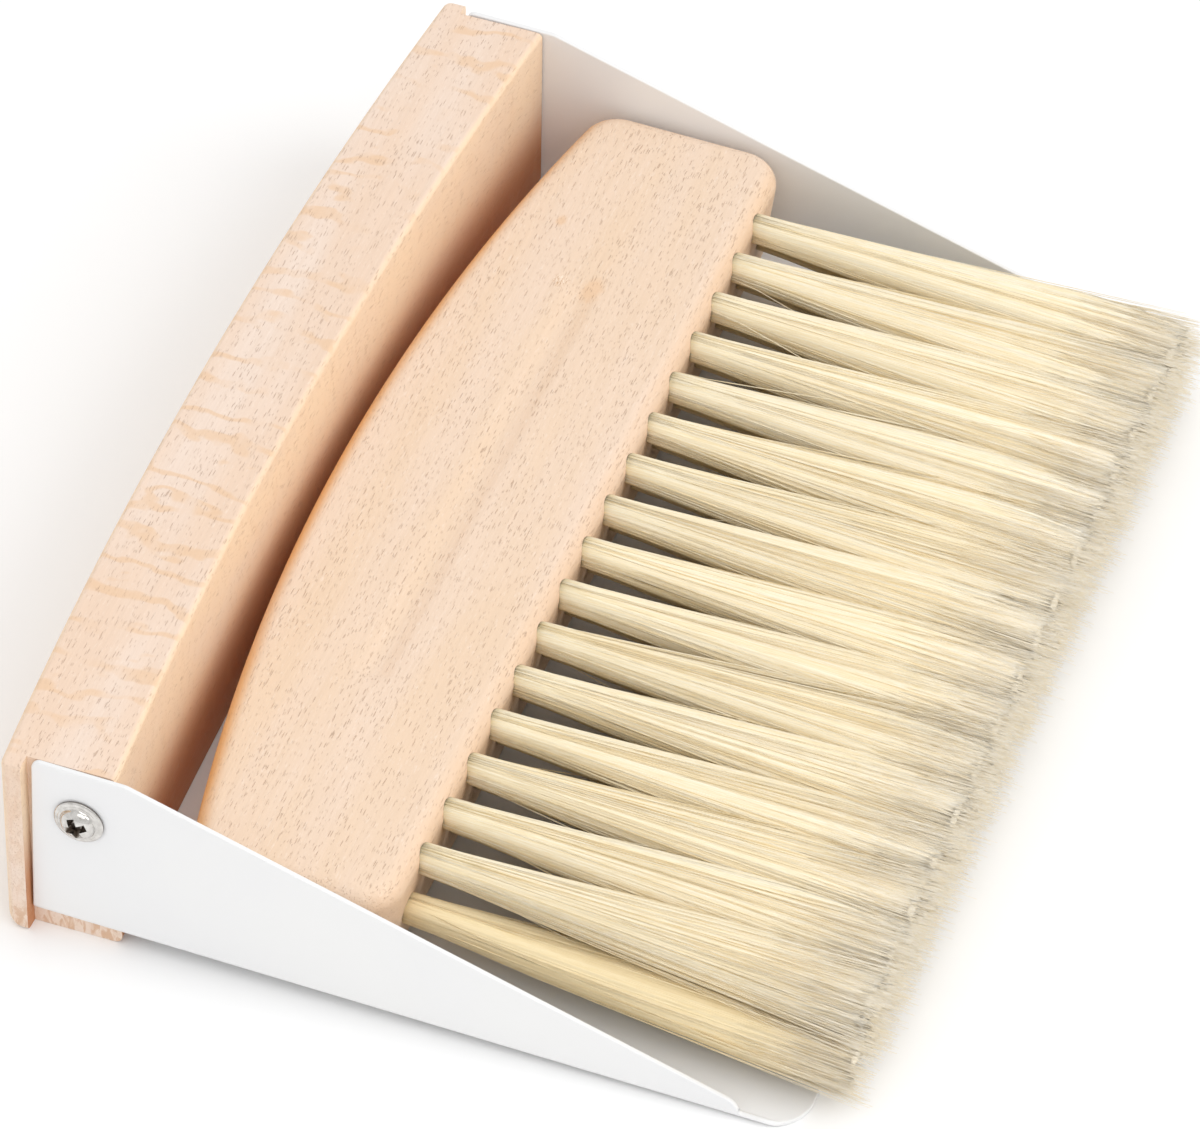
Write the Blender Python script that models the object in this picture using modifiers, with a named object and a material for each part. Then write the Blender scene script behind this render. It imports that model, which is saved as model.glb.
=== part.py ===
"""Dust pan and brush set: a bent sheet pan screwed to a bowed beech handle block, and a beech hand brush
with two staggered rows of bristle tufts lying in it.

Frame: metres, +Z up, X across the pan, the pan's open lip faces -Y, the table is Z = 0.
"""

import math

import bmesh
import bpy
from mathutils import Matrix, Vector

MM = 0.001
GAP = 0.3 * MM  # clearance left between neighbouring solids

# Handle block: a bow in plan, its middle set back behind its ends.
BLOCK_HEIGHT = 43.6 * MM
BLOCK_HALF = 115.8 * MM
BLOCK_BACK_MIDDLE = 10.2 * MM  # behind the rear datum
BLOCK_BACK_END = 5.0 * MM
BLOCK_FRONT_MIDDLE = 11.7 * MM  # in front of the rear datum, along its top
BLOCK_FRONT_END = 17.3 * MM
BLOCK_TOE_MIDDLE = 14.2 * MM  # the same along its foot: the front face leans back in the middle
BLOCK_TOE_END = 17.1 * MM
BLOCK_EDGE = 1.3 * MM  # rounding of its edges, but for the three below
BLOCK_REAR_CORNER = 1.8 * MM  # the two upright edges at its back
BLOCK_FOOT_EDGE = 4.2 * MM  # the long lower edge at its back
BLOCK_TOE_EDGE = 1.8 * MM  # the long lower edge at its front
ARC_STEPS = 24

# Sheet pan: one floor and two side plates, bent from one sheet.
SHEET = 1.0 * MM
PAN_HALF = 113.8 * MM  # to the outside of a side plate
PAN_REAR = 0.5 * MM  # how far its rear edge runs behind the datum
PAN_LIP = 151.2 * MM
PLATE_HEIGHT = 40.0 * MM
PLATE_LEVEL = 18.2 * MM  # the plate's top edge is level up to here
PLATE_SLOPE = 0.2997
PLATE_NOSE = 139.3 * MM
NOSE_RADIUS = 3.4 * MM
LIP_RADIUS = 8.3 * MM
FOLD_RADIUS = 1.6 * MM
PAN_LIFT = 4.1 * MM  # the floor's rear edge stands this high, its lip touches the table

# Washer-head cross-recess screws, one in each end of the block.
SCREW_DEPTH = 9.1 * MM
SCREW_HEIGHT = 27.9 * MM
FLANGE_RADIUS = 4.93 * MM
DOME_RADIUS = 3.1 * MM
SHANK_RADIUS = 1.75 * MM
SHANK_LENGTH = 15.0 * MM
SCREW_STEPS = 24
SEAT_GAP = 0.1 * MM  # under the flange
RECESS_TURN = math.radians(24.0)
RECESS_SPAN = 3.9 * MM
RECESS_ARM = 0.95 * MM
RECESS_FOOT = 1.0 * MM
RECESS_TALL = 2.4 * MM

# Brush back: straight front, bowed rear, all edges round.
BRUSH_HALF = 111.5 * MM
BRUSH_FRONT = 69.6 * MM
BRUSH_BACK = 16.8 * MM
BRUSH_BOW_RADIUS = 490.0 * MM
BRUSH_THICK = 25.2 * MM
BRUSH_RISE = SHEET + GAP  # its underside rests on the pan's floor
FRONT_CORNER = 8.0 * MM
REAR_CORNER = 8.0 * MM
BRUSH_EDGE = 4.2 * MM
FRONT_RAKE = 0.066  # the front face leans back towards its foot
GROOVE_HALF = 60.0 * MM
GROOVE_WIDTH = 10.0 * MM
GROOVE_SINK = 0.8 * MM
GROOVE_DEPTH = 44.7 * MM  # its centre line, in front of the datum

# Bristle tufts: an upper and a lower row, half a pitch apart.
UPPER_COUNT = 16
LOWER_COUNT = 17
TUFT_PITCH = 12.44 * MM
TUFT_RADIUS = 2.7 * MM
HOLE_RADIUS = TUFT_RADIUS + GAP
HOLE_DEPTH = 8.0 * MM
UPPER_HEIGHT = 20.4 * MM  # over the brush's underside
LOWER_HEIGHT = 13.0 * MM
BRISTLE_TIP = 160.5 * MM
UPPER_TIP_HEIGHT = 16.6 * MM
LOWER_TIP_HEIGHT = 7.6 * MM
TIP_HALF_WIDTH = 5.95 * MM
TIP_HALF_HEIGHT = 4.0 * MM
TUFT_SIDES = 14


def clear_scene():
    for obj in list(bpy.data.objects):
        bpy.data.objects.remove(obj, do_unlink=True)


def new_collection(name):
    made = bpy.data.collections.new(name)
    bpy.context.scene.collection.children.link(made)
    return made


def new_material(name, colour, roughness, metallic):
    made = bpy.data.materials.new(name)
    made.use_nodes = True
    shader = made.node_tree.nodes["Principled BSDF"]
    shader.inputs["Base Color"].default_value = (*colour, 1.0)
    shader.inputs["Roughness"].default_value = roughness
    shader.inputs["Metallic"].default_value = metallic
    made.diffuse_color = (*colour, 1.0)
    return made


def new_object(name, data, collection, parent=None, location=(0, 0, 0), rotation=(0, 0, 0)):
    made = bpy.data.objects.new(name, data)
    collection.objects.link(made)
    made.parent = parent
    made.location = location
    made.rotation_euler = rotation
    return made


def mesh_of(name, build):
    """A mesh filled in by build(bm), its faces turned outwards."""
    bm = bmesh.new()
    build(bm)
    bmesh.ops.recalc_face_normals(bm, faces=bm.faces)
    mesh = bpy.data.meshes.new(name)
    bm.to_mesh(mesh)
    bm.free()
    return mesh


def prism(name, outline, low, high, axis="Z"):
    """A flat outline extruded from low to high along an axis, each flat end one face."""
    bm = bmesh.new()
    base = bm.faces.new([bm.verts.new((u, v, low)) for u, v in outline])
    made = bmesh.ops.extrude_face_region(bm, geom=[base])
    far = [item for item in made["geom"] if isinstance(item, bmesh.types.BMVert)]
    bmesh.ops.translate(bm, verts=far, vec=(0, 0, high - low))
    if axis == "X":
        # The outline's (u, v) becomes (Y, Z).
        bm.transform(Matrix(((0, 0, 1, 0), (1, 0, 0, 0), (0, 1, 0, 0), (0, 0, 0, 1))))
    if axis == "Y":
        # The outline's (u, v) becomes (X, Z).
        bm.transform(Matrix(((1, 0, 0, 0), (0, 0, 1, 0), (0, 1, 0, 0), (0, 0, 0, 1))))
    bmesh.ops.recalc_face_normals(bm, faces=bm.faces)
    mesh = bpy.data.meshes.new(name)
    bm.to_mesh(mesh)
    bm.free()
    return mesh


def arc(centre, radius, start, end, steps):
    """Points along a circle's arc; the angles are in degrees."""
    points = []
    for i in range(steps + 1):
        angle = math.radians(start + (end - start) * i / steps)
        points.append((centre[0] + radius * math.cos(angle), centre[1] + radius * math.sin(angle)))
    return points


def bow_at(half, middle, end, x):
    """The Y at x of a shallow arc whose Y is middle at the centre and end at both ends."""
    rise = end - middle
    radius = (half * half + rise * rise) / (2.0 * rise)
    return middle + radius - math.copysign(math.sqrt(radius * radius - x * x), radius)


def bow(half, middle, end, steps):
    """Points of that arc from -half to +half."""
    places = [-half + 2.0 * half * i / steps for i in range(steps + 1)]
    return [(x, bow_at(half, middle, end, x)) for x in places]


def rounded(corners, radii, steps=5):
    """A closed outline with each of its corners rounded to its own radius (0 keeps it sharp)."""
    points = []
    count = len(corners)
    for i, (corner, radius) in enumerate(zip(corners, radii)):
        here = Vector(corner)
        if radius <= 0.0:
            points.append(tuple(here))
            continue
        before = (Vector(corners[i - 1]) - here).normalized()
        after = (Vector(corners[(i + 1) % count]) - here).normalized()
        half_angle = 0.5 * before.angle(after)
        reach = radius / math.tan(half_angle)
        centre = here + (before + after).normalized() * (radius / math.sin(half_angle))
        first = here + before * reach - centre
        last = here + after * reach - centre
        turn = math.atan2(first.x * last.y - first.y * last.x, first.dot(last))
        for k in range(steps + 1):
            spin = Matrix.Rotation(turn * k / steps, 2)
            points.append(tuple(centre + spin @ first))
    return points


def add_bevel(obj, width, segments, angle=40.0):
    made = obj.modifiers.new("round_edges", "BEVEL")
    made.width = width
    made.segments = segments
    made.limit_method = "ANGLE"
    made.angle_limit = math.radians(angle)
    made.use_clamp_overlap = False
    return made


def add_boolean(obj, other, operation="DIFFERENCE"):
    made = obj.modifiers.new(other.name, "BOOLEAN")
    made.operation = operation
    made.solver = "EXACT"
    made.object = other


def cutter(name, mesh, parent, location=(0, 0, 0), rotation=(0, 0, 0)):
    made = new_object(name, mesh, CUTTERS, parent, location, rotation)
    made.hide_render = True
    made.display_type = "WIRE"
    return made


def smooth(obj, angle=35.0):
    for face in obj.data.polygons:
        face.use_smooth = True
    obj.data.set_sharp_from_angle(angle=math.radians(angle))


def turned(name, profile, steps, parent, location, rotation, collection):
    """A turned solid: the (radius, height) profile, listed top to bottom, swept about local Z."""
    mesh = bpy.data.meshes.new(name)
    points = [(radius, 0.0, height) for radius, height in profile]
    mesh.from_pydata(points, [(i, i + 1) for i in range(len(points) - 1)], [])
    made = new_object(name, mesh, collection, parent, location, rotation)
    sweep = made.modifiers.new("turn", "SCREW")
    sweep.axis = "Z"
    sweep.steps = steps
    sweep.render_steps = steps
    sweep.use_merge_vertices = True
    sweep.merge_threshold = 0.00001
    sweep.use_smooth_shade = True
    return made


def box(low, high):
    def build(bm):
        bmesh.ops.create_cube(bm, size=1.0)
        size = [h - l for l, h in zip(low, high)]
        middle = [0.5 * (l + h) for l, h in zip(low, high)]
        bmesh.ops.scale(bm, vec=size, verts=bm.verts)
        bmesh.ops.translate(bm, vec=middle, verts=bm.verts)

    return build


# ---------------------------------------------------------------- handle block


def block_outline():
    rear = [(x, -y) for x, y in bow(BLOCK_HALF, -BLOCK_BACK_MIDDLE, -BLOCK_BACK_END, ARC_STEPS)]
    front = [(x, -y) for x, y in bow(BLOCK_HALF, BLOCK_FRONT_MIDDLE, BLOCK_FRONT_END, ARC_STEPS)]
    return rear + front[::-1]


def block_rounding(first, second):
    """How far the edge between two corners of the plain block is rounded."""
    upright = abs(first.z - second.z) > 0.5 * BLOCK_HEIGHT
    lengthwise = abs(first.x - second.x) > 0.5 * MM
    behind = first.y > 0.0 and second.y > 0.0
    if upright and abs(first.x) < BLOCK_HALF - 0.5 * MM:
        return 0.0
    if upright and behind:
        return BLOCK_REAR_CORNER
    if lengthwise and first.z < 0.5 * BLOCK_HEIGHT:
        return BLOCK_FOOT_EDGE if behind else BLOCK_TOE_EDGE
    return BLOCK_EDGE


def build_block():
    mesh = prism("pan_handle_block", block_outline(), 0.0, BLOCK_HEIGHT)
    for vertex in mesh.vertices:
        if vertex.co.y < 0.0 and vertex.co.z < 0.5 * BLOCK_HEIGHT:
            vertex.co.y = -bow_at(BLOCK_HALF, BLOCK_TOE_MIDDLE, BLOCK_TOE_END, vertex.co.x)
    weights = mesh.attributes.new("bevel_weight_edge", "FLOAT", "EDGE")
    for edge in mesh.edges:
        first, second = (mesh.vertices[i].co for i in edge.vertices)
        weights.data[edge.index].value = block_rounding(first, second) / BLOCK_FOOT_EDGE
    block = new_object("pan_handle_block", mesh, PARTS, PAN)
    block.data.materials.append(BEECH)
    rounding = add_bevel(block, BLOCK_FOOT_EDGE, 4)
    rounding.limit_method = "WEIGHT"
    # A full-height rebate in each end takes the pan's side plates.
    rebate_face = PAN_HALF - SHEET - GAP
    for side, name in ((-1, "left"), (1, "right")):
        low = (rebate_face, -BLOCK_FRONT_END - 5 * MM, -5 * MM)
        high = (BLOCK_HALF + 5 * MM, PAN_REAR + GAP, BLOCK_HEIGHT + 5 * MM)
        if side < 0:
            low, high = (-high[0], low[1], low[2]), (-low[0], high[1], high[2])
        add_boolean(block, cutter("rebate_cutter_" + name, mesh_of("rebate_" + name, box(low, high)), PAN))
    # A saw kerf along the foot takes the rear edge of the pan's floor.
    reach = BLOCK_HALF + 5 * MM
    kerf = box((-reach, -BLOCK_FRONT_END - 5 * MM, -GAP), (reach, PAN_REAR + GAP, SHEET + GAP))
    add_boolean(block, cutter("kerf_cutter", mesh_of("kerf", kerf), TRAY))
    # Pilot holes for the two screws.
    for side, name in ((-1, "left"), (1, "right")):
        hole = mesh_of("pilot", rod(SHANK_RADIUS + GAP, -1 * MM, SHANK_LENGTH + 1 * MM, SCREW_STEPS))
        spot = (side * (rebate_face + 1 * MM), -SCREW_DEPTH, SCREW_HEIGHT)
        add_boolean(block, cutter("pilot_cutter_" + name, hole, TRAY, spot, (0, side * math.radians(-90), 0)))
    smooth(block)


def rod(radius, low, high, sides):
    """A plain round rod along local Z from low to high."""

    def build(bm):
        made = bmesh.ops.create_cone(bm, cap_ends=True, segments=sides, radius1=radius, radius2=radius,
                                     depth=high - low)
        bmesh.ops.translate(bm, vec=(0, 0, 0.5 * (low + high)), verts=made["verts"])

    return build


# ---------------------------------------------------------------- sheet pan


def channel_outline():
    """The pan seen from its lip: a wide U with rounded folds."""
    outer = PAN_HALF
    inner = PAN_HALF - SHEET
    inside_fold = FOLD_RADIUS - SHEET
    top = PLATE_HEIGHT + 2 * MM
    corners = [(-outer, top), (-outer, 0.0), (outer, 0.0), (outer, top),
               (inner, top), (inner, SHEET), (-inner, SHEET), (-inner, top)]
    radii = [0.0, FOLD_RADIUS, FOLD_RADIUS, 0.0, 0.0, inside_fold, inside_fold, 0.0]
    return rounded(corners, radii, 4)


def side_outline():
    """The pan seen from its side, as (Y, Z): floor strip, nosed side plate, sloping top edge."""
    floor_top = SHEET + 0.02 * MM
    nose_height = PLATE_HEIGHT - (PLATE_NOSE - PLATE_LEVEL) * PLATE_SLOPE
    corners = [(PAN_REAR, -1 * MM), (-PAN_LIP, -1 * MM), (-PAN_LIP, floor_top), (-PLATE_NOSE, floor_top),
               (-PLATE_NOSE, nose_height), (-PLATE_LEVEL, PLATE_HEIGHT), (PAN_REAR, PLATE_HEIGHT)]
    return rounded(corners, [0.0, 0.0, 0.0, 0.0, NOSE_RADIUS, 4.0 * MM, 1.8 * MM], 5)


def plan_outline():
    """The pan seen from above: square at the rear, rounded at both corners of the lip."""
    half = PAN_HALF + 1 * MM
    corners = [(half, PAN_REAR + 1 * MM), (-half, PAN_REAR + 1 * MM), (-half, -PAN_LIP), (half, -PAN_LIP)]
    return rounded(corners, [0.0, 0.0, LIP_RADIUS, LIP_RADIUS], 8)


def build_tray():
    mesh = prism("pan_tray", channel_outline(), -PAN_LIP - 2 * MM, PAN_REAR + 2 * MM, "Y")
    tray = new_object("pan_tray", mesh, PARTS, TRAY)
    tray.data.materials.append(COATING)
    reach = PAN_HALF + 5 * MM
    add_boolean(tray, cutter("side_keeper", prism("side_keeper", side_outline(), -reach, reach, "X"), TRAY),
                "INTERSECT")
    add_boolean(tray, cutter("plan_keeper", prism("plan_keeper", plan_outline(), -5 * MM, 60 * MM), TRAY),
                "INTERSECT")
    for side, name in ((-1, "left"), (1, "right")):
        hole = mesh_of("screw_hole", rod(SHANK_RADIUS + GAP, -3 * MM, 3 * MM, SCREW_STEPS))
        spot = (side * PAN_HALF, -SCREW_DEPTH, SCREW_HEIGHT)
        add_boolean(tray, cutter("screw_hole_cutter_" + name, hole, TRAY, spot, (0, math.radians(90), 0)))
    smooth(tray)


# ---------------------------------------------------------------- screws


def recess_arm(turn):
    """One tapering arm of the driver recess: local Z is the screw's axis, 0 the flange's seat."""

    def build(bm):
        bmesh.ops.create_cube(bm, size=1.0)
        bmesh.ops.scale(bm, vec=(RECESS_SPAN, RECESS_ARM, RECESS_TALL), verts=bm.verts)
        for vert in bm.verts:
            if vert.co.z < 0.0:
                vert.co.x *= 0.42
                vert.co.y *= 0.8
        bmesh.ops.translate(bm, vec=(0, 0, RECESS_FOOT + 0.5 * RECESS_TALL), verts=bm.verts)
        bmesh.ops.rotate(bm, cent=(0, 0, 0), matrix=Matrix.Rotation(turn, 3, "Z"), verts=bm.verts)

    return build


def build_screw(name, side):
    profile = [(0.0, 2.75 * MM), (1.1 * MM, 2.66 * MM), (2.1 * MM, 2.3 * MM), (2.8 * MM, 1.7 * MM),
               (DOME_RADIUS, 1.0 * MM), (4.6 * MM, 0.85 * MM), (FLANGE_RADIUS, 0.55 * MM),
               (FLANGE_RADIUS, 0.15 * MM), (FLANGE_RADIUS - 0.2 * MM, 0.0), (SHANK_RADIUS, 0.0),
               (SHANK_RADIUS, 3 * MM - SHANK_LENGTH), (0.3 * MM, 0.2 * MM - SHANK_LENGTH),
               (0.0, -SHANK_LENGTH)]
    spot = (side * (PAN_HALF + SEAT_GAP), -SCREW_DEPTH, SCREW_HEIGHT)
    facing = (0, side * math.radians(90), 0)
    screw = turned(name, profile, SCREW_STEPS, TRAY, spot, facing, PARTS)
    screw.data.materials.append(NICKEL)
    for arm in (1, 2):
        mesh = mesh_of("recess_arm", recess_arm(RECESS_TURN + arm * math.radians(90)))
        add_boolean(screw, cutter(f"{name}_recess_cutter_{arm}", mesh, TRAY, spot, facing))


# ---------------------------------------------------------------- brush


def brush_outline():
    """The brush back from above, as (X, Y): straight front, bowed rear, rounded corners."""
    def rear_y(x):
        return BRUSH_BACK + BRUSH_BOW_RADIUS - math.sqrt(BRUSH_BOW_RADIUS ** 2 - x * x)

    end = rear_y(BRUSH_HALF)
    corners = [(BRUSH_HALF, -BRUSH_FRONT), (BRUSH_HALF, -end)]
    radii = [FRONT_CORNER, REAR_CORNER]
    inner = BRUSH_HALF - 12 * MM
    for i in range(ARC_STEPS + 1):
        x = inner - 2.0 * inner * i / ARC_STEPS
        corners.append((x, -rear_y(x)))
        radii.append(0.0)
    corners += [(-BRUSH_HALF, -end), (-BRUSH_HALF, -BRUSH_FRONT)]
    radii += [REAR_CORNER, FRONT_CORNER]
    return rounded(corners, radii, 5)


def tuft_seat(x, height):
    """Where a tuft's axis meets the raked front face, in the brush's own frame."""
    back = (BRUSH_THICK - height) * FRONT_RAKE
    return Vector((x, -(BRUSH_FRONT - back), height))


def tuft_places():
    """(name, seat, downward slope) of every tuft."""
    places = []
    for row, count, height, tip in (("upper", UPPER_COUNT, UPPER_HEIGHT, UPPER_TIP_HEIGHT),
                                    ("lower", LOWER_COUNT, LOWER_HEIGHT, LOWER_TIP_HEIGHT)):
        for i in range(count):
            x = (i - 0.5 * (count - 1)) * TUFT_PITCH
            seat = tuft_seat(x, height)
            slope = math.atan2(height - tip, BRISTLE_TIP + seat.y)
            places.append((f"tuft_{row}_{i + 1:02d}", seat, slope))
    return places


def hole_mesh(bm):
    """All the blind tuft holes as one set of separate rods."""
    for _, seat, slope in tuft_places():
        made = bmesh.ops.create_cone(bm, cap_ends=True, segments=18, radius1=HOLE_RADIUS, radius2=HOLE_RADIUS,
                                     depth=HOLE_DEPTH + 4 * MM)
        bmesh.ops.translate(bm, vec=(0, 0, 0.5 * (4 * MM - HOLE_DEPTH)), verts=made["verts"])
        place = Matrix.Translation(seat) @ Matrix.Rotation(math.radians(90) + slope, 4, "X")
        bmesh.ops.transform(bm, matrix=place, verts=made["verts"])


def build_brush_back():
    mesh = prism("brush_back", brush_outline(), 0.0, BRUSH_THICK)
    depth = BRUSH_FRONT - BRUSH_BACK
    for vert in mesh.vertices:
        share = max(0.0, (-vert.co.y - BRUSH_BACK) / depth)
        vert.co.y += (BRUSH_THICK - vert.co.z) * FRONT_RAKE * share
    back = new_object("brush_back", mesh, PARTS, BRUSH)
    back.data.materials.append(OILED_BEECH)
    add_bevel(back, BRUSH_EDGE, 4)
    # The finger groove along the top: a long capsule sunk just below the surface.
    radius = ((0.5 * GROOVE_WIDTH) ** 2 + GROOVE_SINK ** 2) / (2.0 * GROOVE_SINK)
    straight = GROOVE_HALF - 0.5 * GROOVE_WIDTH
    profile = [(x, z + straight) for x, z in arc((0, 0), radius, 90, 0, 8)]
    profile += [(x, z - straight) for x, z in arc((0, 0), radius, 0, -90, 8)]
    spot = (0, -GROOVE_DEPTH, BRUSH_THICK + radius - GROOVE_SINK)
    groove = turned("groove_cutter", profile, 48, BRUSH, spot, (0, math.radians(90), 0), CUTTERS)
    groove.hide_render = True
    groove.display_type = "WIRE"
    add_boolean(back, groove)
    add_boolean(back, cutter("tuft_hole_cutter", mesh_of("tuft_holes", hole_mesh), BRUSH))
    smooth(back)


def tuft_mesh(name, length):
    """One tuft about local Z: a round stub in its hole, then a fan that widens and flattens to the tips."""
    stations = [(-HOLE_DEPTH + GAP, 0.0), (0.5 * MM, 0.0), (0.14 * length, 0.06), (0.4 * length, 0.36),
                (0.72 * length, 0.74), (length, 1.0)]

    def build(bm):
        rings = []
        for height, share in stations:
            wide = TUFT_RADIUS + (TIP_HALF_WIDTH - TUFT_RADIUS) * share
            tall = TUFT_RADIUS + (TIP_HALF_HEIGHT - TUFT_RADIUS) * share
            ring = []
            for k in range(TUFT_SIDES):
                angle = 2.0 * math.pi * (k + 0.5) / TUFT_SIDES
                ring.append(bm.verts.new((wide * math.cos(angle), tall * math.sin(angle), height)))
            rings.append(ring)
        for near, far in zip(rings, rings[1:]):
            for k in range(TUFT_SIDES):
                n = (k + 1) % TUFT_SIDES
                bm.faces.new((near[k], near[n], far[n], far[k]))
        bm.faces.new(rings[0])
        bm.faces.new(rings[-1])

    return mesh_of(name, build)


def build_tufts():
    shared = {}
    for name, seat, slope in tuft_places():
        row = name.split("_")[1]
        if row not in shared:
            length = (BRISTLE_TIP + seat.y) / math.cos(slope)
            shared[row] = tuft_mesh("tuft_" + row, length)
            shared[row].materials.append(BRISTLE)
        tuft = new_object(name, shared[row], PARTS, BRUSH, seat, (math.radians(90) + slope, 0, 0))
        smooth(tuft)


def centre_on_origin():
    """Slides the whole set along Y until its box is centred on Y = 0."""
    bpy.context.view_layer.update()
    graph = bpy.context.evaluated_depsgraph_get()
    reach = []
    for part in PARTS.objects:
        if part.type == "MESH":
            made = part.evaluated_get(graph)
            mesh = made.to_mesh()
            reach += [(made.matrix_world @ vert.co).y for vert in mesh.vertices]
            made.to_mesh_clear()
    PAN.location.y = -0.5 * (min(reach) + max(reach))


clear_scene()
PARTS = new_collection("dust_pan_and_brush_set")
CUTTERS = new_collection("cutters")
CUTTERS.hide_render = True

BEECH = new_material("pan_block_beech", (0.80, 0.60, 0.43), 0.55, 0.0)
OILED_BEECH = new_material("brush_back_beech", (0.82, 0.62, 0.46), 0.5, 0.0)
COATING = new_material("pan_white_powder_coat", (0.86, 0.86, 0.86), 0.4, 0.0)
NICKEL = new_material("screw_nickel_steel", (0.72, 0.71, 0.69), 0.2, 1.0)
BRISTLE = new_material("bristle_straw", (0.83, 0.76, 0.56), 0.6, 0.0)

PITCH = math.asin(PAN_LIFT / PAN_LIP)
PAN = new_object("pan_frame", None, PARTS)
TRAY = new_object("pan_tray_frame", None, PARTS, PAN, (0, 0, PAN_LIFT), (PITCH, 0, 0))
BRUSH = new_object("brush_lift_frame", None, PARTS, PAN, (0, 0, PAN_LIFT + BRUSH_RISE), (PITCH, 0, 0))

build_block()
build_tray()
build_screw("pan_screw_left", -1)
build_screw("pan_screw_right", 1)
build_brush_back()
build_tufts()
centre_on_origin()
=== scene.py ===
"""The looks of the dust pan and brush set.

A white powder-coated sheet pan is screwed to a bowed beech block. A beech hand brush with two rows of
straw-coloured bristle tufts lies in it.

Metres, +Z up, X across the pan, its lip facing -Y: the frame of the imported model.
"""

import math

import bmesh
import bpy
import numpy as np
from mathutils import Matrix, Vector


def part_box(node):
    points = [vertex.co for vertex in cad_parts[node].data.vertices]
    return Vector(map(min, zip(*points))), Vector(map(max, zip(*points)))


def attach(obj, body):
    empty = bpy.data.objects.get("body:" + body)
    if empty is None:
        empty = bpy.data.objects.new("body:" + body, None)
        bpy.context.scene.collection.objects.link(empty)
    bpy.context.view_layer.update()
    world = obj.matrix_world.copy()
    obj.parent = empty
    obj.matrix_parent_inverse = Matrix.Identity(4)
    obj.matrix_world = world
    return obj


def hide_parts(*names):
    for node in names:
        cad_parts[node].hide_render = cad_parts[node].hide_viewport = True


MM = 0.001

# Sheet pan.
SHEET = 1.0 * MM
PAN_HALF = 113.8 * MM  # to the outside of a side plate
PAN_REAR = 0.5 * MM  # how far its rear edge runs behind the datum
PAN_LIP = 151.2 * MM
PLATE_HEIGHT = 40.0 * MM
PLATE_LEVEL = 18.2 * MM  # the plate's top edge is level up to here
PLATE_SLOPE = 0.2997
PLATE_NOSE = 139.3 * MM
NOSE_RADIUS = 3.4 * MM
LIP_RADIUS = 8.3 * MM
FOLD_RADIUS = 1.6 * MM
PAN_LIFT = 4.1 * MM  # the floor's rear edge stands this high, its lip touches the table
RIM_ROUND = 0.28 * MM
REAR_TOP_RADIUS = 1.8 * MM  # the plate's upper rear corner
KNEE_RADIUS = 4.0 * MM  # where its top edge starts to slope
RELIEF_INSET = 0.3 * MM  # the floor's lip starts this far inside the folded plate
RELIEF_RADIUS = 0.8 * MM
FOLD_STEPS = 10

# Handle block.
BLOCK_HEIGHT = 43.6 * MM
BLOCK_HALF = 115.8 * MM
BLOCK_BACK_MIDDLE = 10.2 * MM
BLOCK_BACK_END = 5.0 * MM
BLOCK_FRONT_MIDDLE = 11.7 * MM
BLOCK_FRONT_END = 17.3 * MM
BLOCK_TOE_MIDDLE = 14.2 * MM  # the front face leans back in the middle
BLOCK_TOE_END = 17.1 * MM
BLOCK_EDGE = 1.3 * MM  # rounding of its edges, but for the three below
BLOCK_REAR_CORNER = 1.8 * MM  # the two upright edges at its back
BLOCK_FOOT_EDGE = 4.2 * MM  # the long lower edge at its back
BLOCK_TOE_EDGE = 1.8 * MM  # the long lower edge at its front
GAP = 0.3 * MM  # clearance between fitted parts
CUT_PAST = 5.0 * MM  # how far a cutter reaches past what it cuts
ARC_STEPS = 96

# Screws.
SCREW_DEPTH = 9.1 * MM
SCREW_HEIGHT = 27.9 * MM
FLANGE_RADIUS = 4.93 * MM
SHANK_RADIUS = 1.75 * MM
SHANK_LENGTH = 15.0 * MM
SCREW_STEPS = 96
RECESS_TURN = math.radians(24.0)
DOME_RADIUS = 3.5 * MM
DOME_FOOT = 0.8 * MM
DOME_TOP = 2.75 * MM
RECESS_SPAN = 6.4 * MM
RECESS_ARM = 1.7 * MM
RECESS_FOOT = 1.0 * MM
RECESS_TALL = 2.4 * MM
RECESS_TAPER = (0.42, 0.8)  # span and arm at the recess's foot, as a share of its top

# Brush back.
BRUSH_HALF = 111.5 * MM
BRUSH_FRONT = 69.6 * MM
BRUSH_BACK = 16.8 * MM
BRUSH_BOW_RADIUS = 490.0 * MM
BRUSH_THICK = 25.2 * MM
BRUSH_RISE = SHEET + GAP
BRUSH_BOW_INSET = 12.0 * MM  # the bow stops this far from each end, where the corner takes over
FRONT_CORNER = 8.0 * MM
REAR_CORNER = 8.0 * MM
BRUSH_EDGE = 4.2 * MM
FRONT_RAKE = 0.066
GROOVE_HALF = 60.0 * MM
GROOVE_WIDTH = 10.0 * MM
GROOVE_SINK = 0.8 * MM
GROOVE_DEPTH = 44.7 * MM
GROOVE_RIM = 0.03 * MM  # the cutter's bed ends this far over the top, so that it breaks through
GROOVE_RINGS = 24

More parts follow.
